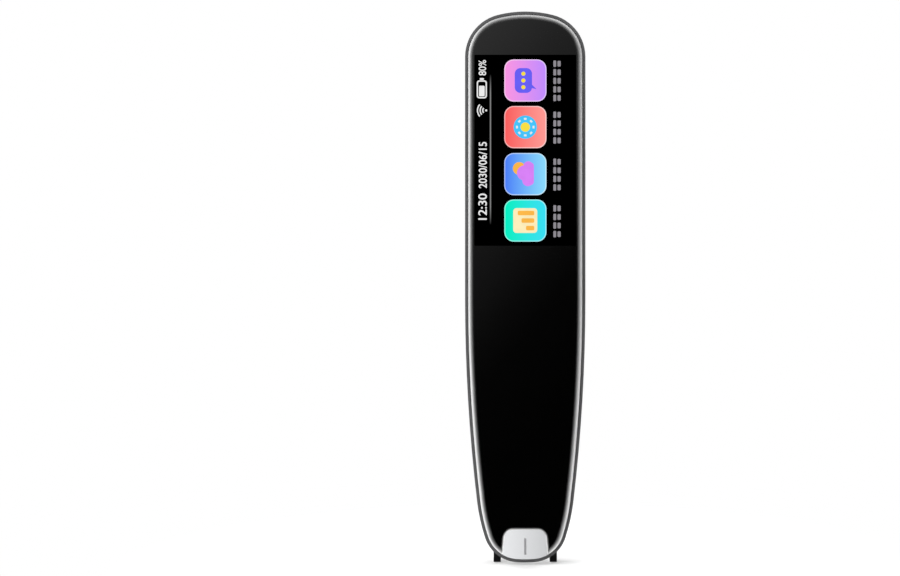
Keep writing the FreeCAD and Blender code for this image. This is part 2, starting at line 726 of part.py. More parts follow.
def make_battery():
    body = body_at("battery_body", "0", "chassis_back + tape_thickness",
                   "(battery_foot + battery_head) / 2")
    outline = sketch_on(body, "XZ_Plane", "battery_outline")
    rectangle(outline, "2 * battery_half", "battery_head - battery_foot")
    cell = pad(body, outline, "battery_cell", "battery_thickness", backwards=True)
    ease_edges(body, cell, "battery_corners", "Fillet", "battery_round",
               lambda edge: edge.BoundBox.ZLength > size("battery_thickness"))
    return body


def make_speaker():
    """Small round loudspeaker: basket with a stepped magnet behind."""
    body = body_at("speaker_body", "0", "speaker_back", "speaker_height")
    sketch = sketch_on(body, "YZ_Plane", "speaker_profile")
    depth, radius = 3.0, 9.0
    magnet, step = 6.0, 1.0
    corners = [(0, 0), (0, magnet), (step, magnet), (step, radius), (depth, radius), (depth, 0)]
    points = [FreeCAD.Vector(x, y, 0) for x, y in corners]
    for start, end in zip(points, points[1:] + points[:1]):
        sketch.addGeometry(Part.LineSegment(start, end))
    for line in range(6):
        sketch.addConstraint(Sketcher.Constraint("Coincident", line, 2, (line + 1) % 6, 1))
    for line, kind in enumerate(("Vertical", "Horizontal", "Vertical", "Horizontal",
                                 "Vertical", "Horizontal")):
        sketch.addConstraint(Sketcher.Constraint(kind, line))
    sketch.addConstraint(Sketcher.Constraint("Coincident", 0, 1, -1, 1))
    named(sketch, Sketcher.Constraint("DistanceY", 0, 1, 0, 2, magnet), "magnet",
          "speaker_radius * 2 / 3")
    named(sketch, Sketcher.Constraint("DistanceX", 1, 1, 1, 2, step), "step",
          "speaker_depth / 3")
    named(sketch, Sketcher.Constraint("DistanceY", 4, 2, 4, 1, radius), "radius",
          "speaker_radius")
    named(sketch, Sketcher.Constraint("DistanceX", 5, 2, 5, 1, depth), "depth",
          "speaker_depth")
    turned = body.newObject("PartDesign::Revolution", "speaker_turned")
    turned.Profile = sketch
    turned.ReferenceAxis = (sketch, ["H_Axis"])
    turned.Angle = 360
    doc.recompute()
    return body


def make_usb_socket():
    """Metal shell of the charging socket: a round-ended tube, closed at its inner end."""
    body = body_at("usb_body", "0", "usb_centre", "usb_mouth - usb_length")
    outer = sketch_on(body, "XY_Plane", "usb_outline")
    round_slot(outer, "usb_width + 2 * usb_wall", "usb_opening + 2 * usb_wall", upright=False)
    pad(body, outer, "usb_case", "usb_length")
    inner = sketch_on(body, "XY_Plane", "usb_hollow_outline", "usb_wall")
    round_slot(inner, "usb_width", "usb_opening", upright=False)
    pocket(body, inner, "usb_hollow", "usb_length", backwards=True)
    return body


def make_card_socket():
    """Tray that holds a memory card, open towards the slot in the wall."""
    outer_half = "card_width / 2 + card_wall"
    low = "card_centre - card_thickness / 2"
    high = "card_centre + card_thickness / 2"
    left = "fit_gap - inner_side"
    case = block("card_case", (left, f"{left} + card_depth"),
                 (f"{low} - card_wall", f"{high} + card_wall"),
                 (f"card_height - {outer_half}", f"card_height + {outer_half}"))
    bay = block("card_bay", (f"{left} - 1", f"{left} + card_depth - card_wall"), (low, high),
                ("card_height - card_width / 2", "card_height + card_width / 2"))
    return cut("card_tray", case, [bay])


def make_display_flex():
    """Flat cable: leaves the display, folds back through the chassis and lies on the board."""
    lie = "board_back + fit_gap"
    fold = ("flex_fold", "flex_fold + flex_thickness")
    across = ("-flex_half", "flex_half")
    start = "display_back - flex_thickness"
    return fuse("flex_strip", [
        block("flex_front", across, (start, "display_back"), ("flex_fold", "display_foot")),
        block("flex_pass", across, (start, lie + " + flex_thickness"), fold),
        block("flex_lie", across, (lie, lie + " + flex_thickness"), ("flex_fold", "plug_foot")),
    ])


def make_trigger_switch():
    half = "switch_size / 2"
    case = block("switch_case", (f"-switch_offset - {half}", f"-switch_offset + {half}"),
                 (f"camera_centre - {half}", f"camera_centre + {half}"),
                 ("baffle_head", "baffle_head + switch_height"))
    bore = rod("switch_bore", "plunger_radius + plunger_gap", "switch_height - 0.5",
               ("-switch_offset", "camera_centre", "baffle_head"))
    return cut("switch_bored", case, [bore])


def make_led_board():
    plate = block("led_plate", ("-led_board_half", "led_board_half"),
                  ("camera_centre - barrel_radius - 0.6", "camera_centre + barrel_radius + 0.6"),
                  ("led_board_foot", "led_board_head"))
    hole = rod("led_plate_hole", "barrel_radius + 0.2", "2 * board_thickness",
               ("0", "camera_centre", "led_board_foot - board_thickness / 2"))
    return cut("led_plate_holed", plate, [hole])


def led(name, side):
    middle = f"{side} * led_offset"
    return block(name, (f"{middle} - led_size / 2", f"{middle} + led_size / 2"),
                 ("camera_centre - led_size / 2", "camera_centre + led_size / 2"),
                 ("baffle_foot + 0.3", "led_board_foot"))


def tactile_switch(name, height):
    half = "key_switch_size / 2"
    case = block(name + "_case", ("switch_foot", "switch_top - 0.3"), (f"-{half}", half),
                 (f"{height} - {half}", f"{height} + {half}"))
    dome = rod(name + "_dome", "key_nub_size / 2", "0.35",
               ("switch_top - 0.35", "0", height), (1, 0, 0))
    return fuse(name + "_whole", [case, dome])


def build_housing():
    node(solid_feature("shell_form", make_rear_shell()), "rear_shell")
    node(solid_feature("frame_form", make_front_frame()), "front_frame")
    glass = whole_glass()
    node(solid_feature("glass_form", glass.cut(window_prism(size("window_gap")))),
         "cover_glass")
    node(solid_feature("window_form", glass.common(window_prism(0))), "aiming_window")
    node(solid_feature("gasket_form", make_glass_gasket()), "glass_gasket")
    node(solid_feature("chassis_form", make_chassis()), "chassis")
    node(solid_feature("screw_forms", make_chassis_screws()), "chassis_screws")


def build_display():
    node(block("display", ("-display_half", "display_half"), ("ledge_face", "display_back"),
               ("display_foot", "display_head")), "display_module")
    node(make_display_flex(), "display_flex")
    node(block("flex_plug", ("-flex_half - plug_margin", "flex_half + plug_margin"),
               ("board_back", "board_back + plug_height"),
               ("plug_foot", "plug_foot + plug_length")), "display_connector")


def build_board():
    node(block("board", ("-board_half", "board_half"), ("board_front", "board_back"),
               ("board_foot", "board_head")), "main_board")
    node(block("can", ("-can_half", "can_half"), ("board_back", "board_back + can_height"),
               ("can_foot", "can_head")), "shield_can")
    node(block("chip", ("-chip_offset - chip_width / 2", "-chip_offset + chip_width / 2"),
               ("board_back", "board_back + chip_height"),
               ("board_head - chip_length - edge_margin", "board_head - edge_margin")),
         "antenna_chip")
    node(make_card_socket(), "card_socket")
    node(make_usb_socket(), "usb_socket")
    node(block("usb_blade", ("-tongue_width / 2", "tongue_width / 2"),
               ("usb_centre - tongue_thickness / 2", "usb_centre + tongue_thickness / 2"),
               ("usb_mouth - usb_length + usb_wall", "usb_mouth - tongue_inset")),
         "usb_tongue")
    mic = block("mic_case", ("mic_offset - mic_size / 2", "mic_offset + mic_size / 2"),
                ("board_back", "board_back + mic_height"),
                ("board_head - mic_size - edge_margin", "board_head - edge_margin"))
    port = rod("mic_port", "mic_hole", "mic_size / 2",
               ("mic_offset", "board_back + mic_height / 2", "board_head - mic_size / 2"))
    node(cut("mic_ported", mic, [port]), "microphone")


def build_sound():
    node(make_speaker(), "speaker")
    ring = rod("gasket_disc", "speaker_radius", "speaker_gasket",
               ("0", "speaker_front", "speaker_height"), (0, 1, 0))
    bore = rod("gasket_bore", "grille_radius + 0.6", "2 * speaker_gasket",
               ("0", "speaker_front - speaker_gasket / 2", "speaker_height"), (0, 1, 0))
    node(cut("gasket_ring", ring, [bore]), "speaker_gasket")
    node(rod("mesh_disc", "grille_radius + 0.5", "mesh_thickness",
             ("0", "inner_back - mesh_thickness", "speaker_height"), (0, 1, 0)),
         "speaker_mesh")


def build_power():
    node(make_battery(), "battery")
    node(block("tape", ("tape_margin - battery_half", "battery_half - tape_margin"),
               ("chassis_back", "chassis_back + tape_thickness"),
               ("battery_foot + tape_margin", "battery_head - tape_margin")), "battery_tape")
    node(block("guard_board", ("-guard_board_half", "guard_board_half"),
               ("chassis_back + tape_thickness",
                "chassis_back + tape_thickness + 2 * board_thickness"),
               ("battery_head", "battery_head + guard_board_height")), "battery_board")


def build_keys():
    node(make_side_key("upper_key_body", "key_upper"), "upper_key")
    node(make_side_key("lower_key_body", "key_lower"), "lower_key")
    node(tactile_switch("upper_switch", "key_upper"), "upper_key_switch")
    node(tactile_switch("lower_switch", "key_lower"), "lower_key_switch")
    node(block("key_strip", ("switch_foot - key_board_thickness", "switch_foot"),
               ("-key_board_half", "key_board_half"),
               ("key_lower - key_length / 2 - key_board_margin",
                "key_upper + key_length / 2 + key_board_margin")), "key_board")


def build_scanner():
    node(solid_feature("baffle_form", make_scan_baffle()), "scan_baffle")
    node(solid_feature("bracket_form", make_tip_bracket()), "tip_bracket")
    node(rod("plunger_pin", "plunger_radius", "plunger_length",
             ("-switch_offset", "camera_centre", "bar_top")), "switch_plunger")
    node(make_trigger_switch(), "trigger_switch")
    node(make_led_board(), "led_board")
    node(fuse("led_pair", [led("led_left", "-1"), led("led_right", "1")]), "scan_leds")
    node(rod("lens_disc", "lens_radius", "lens_height", ("0", "camera_centre", "lens_foot")),
         "camera_lens")
    node(rod("barrel_tube", "barrel_radius", "barrel_length",
             ("0", "camera_centre", "barrel_foot")), "camera_barrel")
    node(block("camera_plate", ("-camera_board_half", "camera_board_half"),
               ("camera_centre - barrel_radius", "camera_centre + barrel_radius"),
               ("camera_board_foot", "camera_board_foot + board_thickness")), "camera_board")


def check_model():
    """Stop if any object failed or any sub-part is empty or broken."""
    doc.recompute()
    for obj in doc.Objects:
        states = [state for state in obj.State if state in ("Invalid", "Error")]
        if states:
            raise RuntimeError(f"{obj.Name} is {states}")
    for obj in NODES:
        shape = obj.Shape
        if shape.isNull() or not shape.isValid() or not shape.Solids:
            raise RuntimeError(f"{obj.Label} has no sound solid")


def write_parts():
    os.makedirs("parts", exist_ok=True)
    for obj in NODES:
        obj.Shape.exportStep(f"parts/{obj.Label}.step")
        box = obj.Shape.BoundBox
        print(f"{obj.Label:20s} solids {len(obj.Shape.Solids)} "
              f"x {box.XMin:.2f}..{box.XMax:.2f} y {box.YMin:.2f}..{box.YMax:.2f} "
              f"z {box.ZMin:.2f}..{box.ZMax:.2f}")


fill_sheet()
build_housing()
build_display()
build_board()
build_sound()
build_power()
build_keys()
build_scanner()
check_model()
write_parts()
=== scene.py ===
import math

import bmesh
import bpy
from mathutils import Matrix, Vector


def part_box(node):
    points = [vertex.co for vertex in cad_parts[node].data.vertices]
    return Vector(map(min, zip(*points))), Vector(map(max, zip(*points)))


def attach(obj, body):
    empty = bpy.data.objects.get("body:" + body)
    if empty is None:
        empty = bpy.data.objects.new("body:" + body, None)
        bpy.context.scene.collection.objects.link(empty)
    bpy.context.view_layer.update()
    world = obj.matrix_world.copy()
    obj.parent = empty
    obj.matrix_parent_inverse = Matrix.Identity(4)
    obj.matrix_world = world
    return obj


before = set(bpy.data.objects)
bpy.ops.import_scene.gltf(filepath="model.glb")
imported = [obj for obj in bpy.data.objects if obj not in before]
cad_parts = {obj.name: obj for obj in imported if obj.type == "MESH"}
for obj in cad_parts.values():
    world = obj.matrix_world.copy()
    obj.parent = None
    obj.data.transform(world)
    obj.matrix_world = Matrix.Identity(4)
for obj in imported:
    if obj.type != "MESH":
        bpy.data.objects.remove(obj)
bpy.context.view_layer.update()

MM = 0.001
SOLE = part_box("tip_bracket")[0].z          # underside of the tip's feet
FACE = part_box("cover_glass")[0].y          # front of the glass


def height(millimetres):
    """World height of a place given in millimetres above the feet."""
    return SOLE + millimetres * MM


# Camera: straight in front of the glass, as in the photograph's front view

PHOTO_WIDTH = 900                          # pixels
PEN_CENTRE_PIXEL = 525.25
MM_PER_PIXEL = 0.266
LENS = 60.0                                # millimetres, as is the sensor
SENSOR = 36.0
EYE_HEIGHT = 73.66                         # millimetres above the feet


def make_camera():
    data = bpy.data.cameras.new("main_camera")
    camera = bpy.data.objects.new("main_camera", data)
    bpy.context.scene.collection.objects.link(camera)
    data.lens = LENS
    data.sensor_width = SENSOR
    distance = PHOTO_WIDTH * MM_PER_PIXEL * MM * LENS / SENSOR
    camera.location = (0.0, FACE - distance, height(EYE_HEIGHT))
    camera.rotation_euler = (math.pi / 2, 0.0, 0.0)
    data.shift_x = -(PEN_CENTRE_PIXEL - PHOTO_WIDTH / 2) / PHOTO_WIDTH
    data.clip_start = 0.01
    bpy.context.scene.camera = camera


make_camera()


# Node helpers

def srgb(red, green, blue):
    """A linear colour from 0 to 255 screen values."""
    def linear(value):
        share = value / 255
        return share / 12.92 if share <= 0.04045 else ((share + 0.055) / 1.055) ** 2.4
    return (linear(red), linear(green), linear(blue), 1.0)


def new_material(name):
    """A material with its node tree and its main shader."""
    material = bpy.data.materials.new(name)
    material.use_nodes = True
    tree = material.node_tree
    return material, tree, tree.nodes["Principled BSDF"]


def add(tree, kind, **settings):
    """A new node with the given settings."""
    made = tree.nodes.new(kind)
    for key, value in settings.items():
        setattr(made, key, value)
    return made


def ramp(tree, source, stops):
    """A colour ramp; stops are (position, grey or colour)."""
    made = add(tree, "ShaderNodeValToRGB")
    elements = made.color_ramp.elements
    while len(elements) < len(stops):
        elements.new(0.5)
    for element, (position, colour) in zip(elements, stops):
        element.position = position
        element.color = colour if isinstance(colour, tuple) else (colour, colour, colour, 1.0)
    tree.links.new(source, made.inputs["Fac"])
    return made.outputs["Color"]


def noise(tree, scale, detail=3.0, stretch=(1, 1, 1)):
    """Noise in the object's own coordinates; scale is in grains per metre."""
    place = add(tree, "ShaderNodeTexCoord")
    mapping = add(tree, "ShaderNodeMapping")
    mapping.inputs["Scale"].default_value = stretch
    made = add(tree, "ShaderNodeTexNoise")
    made.inputs["Scale"].default_value = scale
    made.inputs["Detail"].default_value = detail
    tree.links.new(place.outputs["Object"], mapping.inputs["Vector"])
    tree.links.new(mapping.outputs["Vector"], made.inputs["Vector"])
    return made.outputs["Fac"]


def bump(tree, shader, source, depth):
    """Fine relief of a depth in metres on the shader's surface."""
    made = add(tree, "ShaderNodeBump")
    made.inputs["Distance"].default_value = depth
    tree.links.new(source, made.inputs["Height"])
    tree.links.new(made.outputs["Normal"], shader.inputs["Normal"])
    return made


def math_node(tree, operation, first, second=None, clamp=False):
    """One sum; each side is a socket or a plain number."""
    made = add(tree, "ShaderNodeMath", operation=operation, use_clamp=clamp)
    for index, value in enumerate((first, second)):
        if value is None:
            continue
        if isinstance(value, (int, float)):
            made.inputs[index].default_value = value
        else:
            tree.links.new(value, made.inputs[index])
    return made.outputs["Value"]


def remap(tree, source, low, high, start=0.0, end=1.0, kind="LINEAR"):
    """The stretch from low to high laid over the stretch from start to end."""
    made = add(tree, "ShaderNodeMapRange", interpolation_type=kind)
    for name, value in (("From Min", low), ("From Max", high), ("To Min", start),
                        ("To Max", end)):
        made.inputs[name].default_value = value
    tree.links.new(source, made.inputs["Value"])
    return made.outputs["Result"]


def spread(tree, source, low, high):
    """A noise's middle range as values from low to high."""
    return remap(tree, source, 0.3, 0.7, low, high)


def split(tree, vector):
    """The three parts of a vector."""
    made = add(tree, "ShaderNodeSeparateXYZ")
    tree.links.new(vector, made.inputs["Vector"])
    return made.outputs["X"], made.outputs["Y"], made.outputs["Z"]


def blend(tree, share, first, second):
    """Colour mix; a plain second colour may be given in place of a socket."""
    made = add(tree, "ShaderNodeMix", data_type="RGBA")
    tree.links.new(share, made.inputs["Factor"])
    tree.links.new(first, made.inputs["A"])
    if isinstance(second, tuple):
        made.inputs["B"].default_value = second
    else:
        tree.links.new(second, made.inputs["B"])
    return made.outputs["Result"]


def scaled(tree, colour, share):
    """A colour made darker or brighter by a share."""
    made = add(tree, "ShaderNodeVectorMath", operation="SCALE")
    tree.links.new(colour, made.inputs[0])
    tree.links.new(share, made.inputs["Scale"])
    return made.outputs["Vector"]


def mix_shaders(tree, share, first, second):
    """The first shader at share 0, the second at share 1."""
    made = add(tree, "ShaderNodeMixShader")
    tree.links.new(share, made.inputs["Fac"])
    tree.links.new(first, made.inputs[1])
    tree.links.new(second, made.inputs[2])
    return made.outputs["Shader"]


def seen_directly(tree, rays):
    """1 for what the camera sees straight or through glass."""
    return math_node(tree, "MAXIMUM", rays.outputs["Is Camera Ray"],
                     rays.outputs["Is Transmission Ray"])


def own_place(tree):
    """The surface point's place in the object's own coordinates: x, y and z."""
    return split(tree, add(tree, "ShaderNodeTexCoord").outputs["Object"])


def tinted(tree, source, colour, depth):
    """The colour, a little darker and lighter with the noise."""
    dark = tuple(channel * (1 - depth) for channel in colour[:3]) + (1.0,)
    light = tuple(min(1.0, channel * (1 + depth)) for channel in colour[:3]) + (1.0,)
    return ramp(tree, source, [(0.35, dark), (0.65, light)])


def grained(name, colour, roughness, metallic=0.0, grain=4000, depth=0.00002, variation=0.08,
            patch=60, coat=0.0):
    """Moulded, painted or plated stock: fine grain in the surface and faint larger patches in
    colour and gloss."""
    material, tree, shader = new_material(name)
    patches = noise(tree, patch, 4.0)
    fine = noise(tree, grain, 2.0)
    tree.links.new(tinted(tree, patches, colour, variation), shader.inputs["Base Color"])
    rough = spread(tree, fine, roughness * 0.88, min(1.0, roughness * 1.12))
    tree.links.new(rough, shader.inputs["Roughness"])
    shader.inputs["Metallic"].default_value = metallic
    shader.inputs["Coat Weight"].default_value = coat
    bump(tree, shader, fine, depth)
    return material


# Materials of the visible surfaces

CROWN_START = 4.0            # millimetres from the middle of the back to where it falls away
CROWN_RADIUS = 33.0
SLOT_SHADE_REACH = 1.6             # millimetres within which a facing wall darkens the paint: painted shade in slots and holes
TIP_SHADE_FOOT = 4.0              # millimetres above the feet between which painted shade darkens the paint towards the tip
TIP_SHADE_HEAD = 42.0
TIP_SHADE_SHARE = 0.40


def crown_normal(tree, across):
    """Surface direction of a back that falls away in an arc on both sides of its middle."""
    past = math_node(tree, "SUBTRACT", math_node(tree, "ABSOLUTE", across), CROWN_START * MM)
    past = math_node(tree, "MAXIMUM", past, 0.0)
    fall = math_node(tree, "DIVIDE", math_node(tree, "MULTIPLY", past, past),
                     -2 * CROWN_RADIUS * MM)
    crown = add(tree, "ShaderNodeBump")
    crown.inputs["Distance"].default_value = 1.0
    tree.links.new(fall, crown.inputs["Height"])
    return crown.outputs["Normal"]


def painted_shade_share(tree, up):
    """Painted shade, as a share of the paint's brightness: little in slots and holes, less towards
    the tip.
    """
    # ambient occlusion darkens the paint in slots, holes and crevices: painted shade
    recess_shade = add(tree, "ShaderNodeAmbientOcclusion", samples=8)
    recess_shade.inputs["Distance"].default_value = SLOT_SHADE_REACH * MM
    open_share = remap(tree, recess_shade.outputs["AO"], 0.58, 0.88, 0.02, 1.0)
    # the paint is made darker towards the tip: painted shade
    return math_node(tree, "MULTIPLY", open_share,
                     remap(tree, up, height(TIP_SHADE_FOOT), height(TIP_SHADE_HEAD), TIP_SHADE_SHARE, 1.0,
                           kind="SMOOTHSTEP"))


def shell_paint(name, colour, roughness):
    """Warm gunmetal paint over metal: fine flake under a satin skin, with painted shade in slots
    and holes and towards the tip.
    """
    material, tree, shader = new_material(name)
    flake = noise(tree, 9000, 2.0)
    cloud = noise(tree, 35, 3.0)
    mixed = add(tree, "ShaderNodeMix", data_type="RGBA", blend_type="MULTIPLY")
    mixed.inputs["Factor"].default_value = 1.0
    tree.links.new(tinted(tree, cloud, colour, 0.04), mixed.inputs["A"])
    tree.links.new(ramp(tree, flake, [(0.3, 0.86), (0.7, 1.0)]), mixed.inputs["B"])
    across, _, up = own_place(tree)
    # the paint's colour is darkened by painted shade in slots and holes and towards the tip
    tree.links.new(scaled(tree, mixed.outputs["Result"], painted_shade_share(tree, up)),
                   shader.inputs["Base Color"])
    tree.links.new(spread(tree, flake, roughness - 0.03, roughness + 0.03),
                   shader.inputs["Roughness"])
    shader.inputs["Metallic"].default_value = 1.0
    grain = bump(tree, shader, flake, 0.000002)
    tree.links.new(crown_normal(tree, across), grain.inputs["Normal"])
    return material


GLASS_ROUND = 0.9            # millimetres of the cover glass's rounded edge

# Painted highlight on the glass's rounded edge: glass colour by how far the surface leans away
# from the flat face
EDGE_HIGHLIGHT_GREYS = [(0.0, 0.0004), (0.03, 0.001), (0.10, 0.03), (0.28, 0.13), (0.50, 0.30),
              (0.66, 0.56), (0.80, 0.66), (1.0, 0.66)]


def cover_glass_material():
    """Polished glass, black behind its flat face. The rounded edge has no black behind it and also
    carries a painted highlight, so it lightens from the flat towards the rim; the painted
    highlight is strongest on the right and weakest at the crown."""
    material, tree, shader = new_material("black_glass")
    soft = add(tree, "ShaderNodeBevel", samples=8)
    soft.inputs["Radius"].default_value = GLASS_ROUND * MM
    side, outward, rise = split(tree, soft.outputs["Normal"])
    flat = math_node(tree, "MULTIPLY", outward, outward)
    lean = math_node(tree, "SQRT", math_node(tree, "SUBTRACT", 1.0, flat, clamp=True))
    # painted highlight on the rounded edge: weaker towards the crown and stronger on the right
    # side
    crown = remap(tree, rise, 0.25, 0.95, 1.0, 0.35)
    edge_highlight_strength = math_node(tree, "MULTIPLY", crown, remap(tree, side, -0.2, 0.3, 1.0, 1.42))
    tree.links.new(scaled(tree, ramp(tree, lean, EDGE_HIGHLIGHT_GREYS), edge_highlight_strength),
                   shader.inputs["Base Color"])
    smear = noise(tree, 45, 3.0, (1, 1, 0.4))
    tree.links.new(spread(tree, smear, 0.02, 0.05), shader.inputs["Roughness"])
    return material


WINDOW_HALF = 6.0            # millimetres


def window_material():
    """Clear moulded window with a faint grey body, made a little darker towards one side by
    painted shade.
    """
    material, tree, shader = new_material("clear_window")
    side = remap(tree, own_place(tree)[0], -WINDOW_HALF * MM, WINDOW_HALF * MM)
    # painted shade: the colour darkens across the window from one side to the other
    tree.links.new(ramp(tree, side, [(0.0, srgb(234, 235, 237)), (1.0, srgb(202, 203, 205))]),
                   shader.inputs["Base Color"])
    cloud = noise(tree, 300, 2.0)
    tree.links.new(spread(tree, cloud, 0.02, 0.06), shader.inputs["Roughness"])
    shader.inputs["Transmission Weight"].default_value = 1.0
    shader.inputs["IOR"].default_value = 1.12
    return material


def lens_material():
    """Small dark lens with a violet coating."""
    material, tree, shader = new_material("coated_lens")
    cloud = noise(tree, 500, 2.0)
    tree.links.new(ramp(tree, cloud, [(0.3, (0.02, 0.01, 0.06, 1)), (0.7, (0.04, 0.02, 0.12, 1))]),
                   shader.inputs["Base Color"])
    shader.inputs["Roughness"].default_value = 0.04
    shader.inputs["Coat Weight"].default_value = 1.0
    return material


def mesh_material():
    """Woven dust mesh: a fine square weave."""
    material, tree, shader = new_material("dust_mesh")
    place = add(tree, "ShaderNodeTexCoord")
    waves = []
    for direction in ("X", "Z"):
        wave = add(tree, "ShaderNodeTexWave", bands_direction=direction)
        wave.inputs["Scale"].default_value = 1600
        tree.links.new(place.outputs["Object"], wave.inputs["Vector"])
        waves.append(wave.outputs["Fac"])
    weave = math_node(tree, "MULTIPLY", waves[0], waves[1])
    tree.links.new(ramp(tree, weave, [(0.0, 0.002), (1.0, 0.015)]),
                   shader.inputs["Base Color"])
    shader.inputs["Roughness"].default_value = 0.8
    bump(tree, shader, weave, 0.00003)
    return material


def board_material():
    """Green solder mask with lighter copper runs under it."""
    material, tree, shader = new_material("circuit_board")
    place = add(tree, "ShaderNodeTexCoord")
    runs = add(tree, "ShaderNodeTexBrick")
    runs.inputs["Scale"].default_value = 500
    runs.inputs["Color1"].default_value = (0.01, 0.10, 0.045, 1)
    runs.inputs["Color2"].default_value = (0.012, 0.12, 0.05, 1)
    runs.inputs["Mortar"].default_value = (0.03, 0.20, 0.09, 1)
    tree.links.new(place.outputs["Object"], runs.inputs["Vector"])
    tree.links.new(runs.outputs["Color"], shader.inputs["Base Color"])
    shader.inputs["Roughness"].default_value = 0.35
    bump(tree, shader, runs.outputs["Fac"], 0.00002)
    return material


def make_finishes():
    """The material of every carried node, by the node's name."""
    paint = shell_paint("gunmetal_paint", (0.384, 0.327, 0.343, 1.0), 0.20)
    key_paint = shell_paint("key_paint", (0.150, 0.126, 0.132, 1.0), 0.28)
    rim = grained("rim_plastic", srgb(104, 104, 105), 0.32, metallic=0.35, coat=0.3)
    black = grained("black_plastic", srgb(13, 13, 14), 0.42)
    dark = grained("dark_plastic", srgb(46, 46, 48), 0.5)
    foam = grained("black_foam", srgb(26, 26, 26), 0.9, grain=2500, depth=0.00008)
    steel = grained("plated_steel", (0.56, 0.57, 0.59, 1.0), 0.3, metallic=1.0)
    can = grained("tinned_can", (0.58, 0.58, 0.58, 1.0), 0.38, metallic=1.0)
    film = grained("amber_film", (0.36, 0.15, 0.03, 1.0), 0.25, coat=0.5)
    foil = grained("battery_foil", (0.50, 0.51, 0.53, 1.0), 0.34, metallic=0.9, depth=0.00005)
    pale = grained("pale_ceramic", srgb(226, 222, 212), 0.6)
    led = grained("led_resin", srgb(238, 232, 178), 0.3, coat=0.4)
    panel = grained("display_panel", srgb(12, 12, 14), 0.2, depth=0.000002)
    board = board_material()
    return {
        "rear_shell": paint, "upper_key": key_paint, "lower_key": key_paint,
        "front_frame": rim, "cover_glass": cover_glass_material(),
        "aiming_window": window_material(), "camera_lens": lens_material(),
        "speaker_mesh": mesh_material(), "tip_bracket": black, "scan_baffle": black,
        "camera_barrel": black, "switch_plunger": black, "chassis": dark,
        "display_connector": dark, "usb_tongue": dark, "speaker": dark,
        "trigger_switch": dark, "glass_gasket": foam, "speaker_gasket": foam,
        "battery_tape": foam, "chassis_screws": steel, "shield_can": can,
        "card_socket": can, "usb_socket": can, "microphone": can, "upper_key_switch": can,
        "lower_key_switch": can, "display_flex": film, "battery": foil,
        "antenna_chip": pale, "scan_leds": led, "display_module": panel,
        "main_board": board, "battery_board": board, "key_board": board,
        "led_board": board, "camera_board": board,
    }


def dress_nodes():
    for name, material in make_finishes().items():
        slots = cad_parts[name].data.materials
        slots.clear()
        slots.append(material)


dress_nodes()


# The lit screen. Its picture is turned a quarter turn: across runs up the pen and up runs
# towards the left edge. Places are in millimetres, across measured above the feet.

LAYER = 0.02 * MM
GLASS_SINK = 0.01 * MM

# Layers, from the glass outwards
GROUND = 1
PRINT = 2
INLAY = 3
FIGURE = 4
DETAIL = 5


def screen_point(across, up, layer):
    """World place of a point on a layer of the screen's picture."""
    return Vector((-up * MM, FACE - layer * LAYER, height(across)))


def bonded(name, mesh, material):
    """A piece on the screen that goes with the housing."""
    mesh.materials.clear()
    mesh.materials.append(material)
    piece = bpy.data.objects.new(name, mesh)
    bpy.context.scene.collection.objects.link(piece)
    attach(piece, "housing")
    return piece


def plate(name, loops, layer, material):
    """Thin closed plates with the given outlines, all one piece, bonded on the glass."""
    mesh = bpy.data.meshes.new(name)
    shape = bmesh.new()
    for loop in loops:
        front = [shape.verts.new(screen_point(a, u, layer)) for a, u in loop]
        back = [shape.verts.new(Vector((v.co.x, FACE + GLASS_SINK, v.co.z))) for v in front]
        shape.faces.new(front)
        shape.faces.new(back[::-1])
        for i, vertex in enumerate(front):
            following = (i + 1) % len(front)
            shape.faces.new((vertex, back[i], back[following], front[following]))
    bmesh.ops.recalc_face_normals(shape, faces=shape.faces)
    shape.to_mesh(mesh)
    shape.free()
    return bonded(name, mesh, material)


def rounded(across, up, width, tall, radius, steps=8):
    """A rectangle with round corners, centred on a place."""
    loop = []
    corners = ((1, 1, 0), (-1, 1, 1), (-1, -1, 2), (1, -1, 3))
    for side_a, side_u, quarter in corners:
        ca = across + side_a * (width / 2 - radius)
        cu = up + side_u * (tall / 2 - radius)
        for step in range(steps + 1):
            turn = (quarter + step / steps) * math.pi / 2
            loop.append((ca + radius * math.cos(turn), cu + radius * math.sin(turn)))
    return loop


def arc(across, up, radius, turns):
    """Points round a centre at the given turns."""
    return [(across + radius * math.cos(t), up + radius * math.sin(t)) for t in turns]


def disc(across, up, radius, steps=40):
    """A round outline."""
    return arc(across, up, radius, [2 * math.pi * step / steps for step in range(steps)])


def band(across, up, radius, width, start, end, steps=16):
    """Part of a ring between two turns, in degrees."""
    turns = [math.radians(start + (end - start) * step / steps) for step in range(steps + 1)]
    outer = arc(across, up, radius + width / 2, turns)
    inner = arc(across, up, radius - width / 2, turns[::-1])
    return outer + inner


def glow(name, colour, strength=1.0, end_colour=None, place=None):
    """Lit screen colour under a dull skin; with an end colour it runs across place, given as
    the centre's up and half its size."""
    material, tree, shader = new_material(name)
    if end_colour:
        middle, half = place
        share = remap(tree, own_place(tree)[0], -(middle + half) * MM, -(middle - half) * MM)
        source = ramp(tree, share, [(0.0, colour), (1.0, end_colour)])
    else:
        source = tinted(tree, noise(tree, 400, 1.0), colour, 0.03)
    tree.links.new(source, shader.inputs["Emission Color"])
    shader.inputs["Emission Strength"].default_value = strength
    shader.inputs["Base Color"].default_value = (0.0, 0.0, 0.0, 1.0)
    shader.inputs["Roughness"].default_value = 0.3
    shader.inputs["Specular IOR Level"].default_value = 0.0
    return material


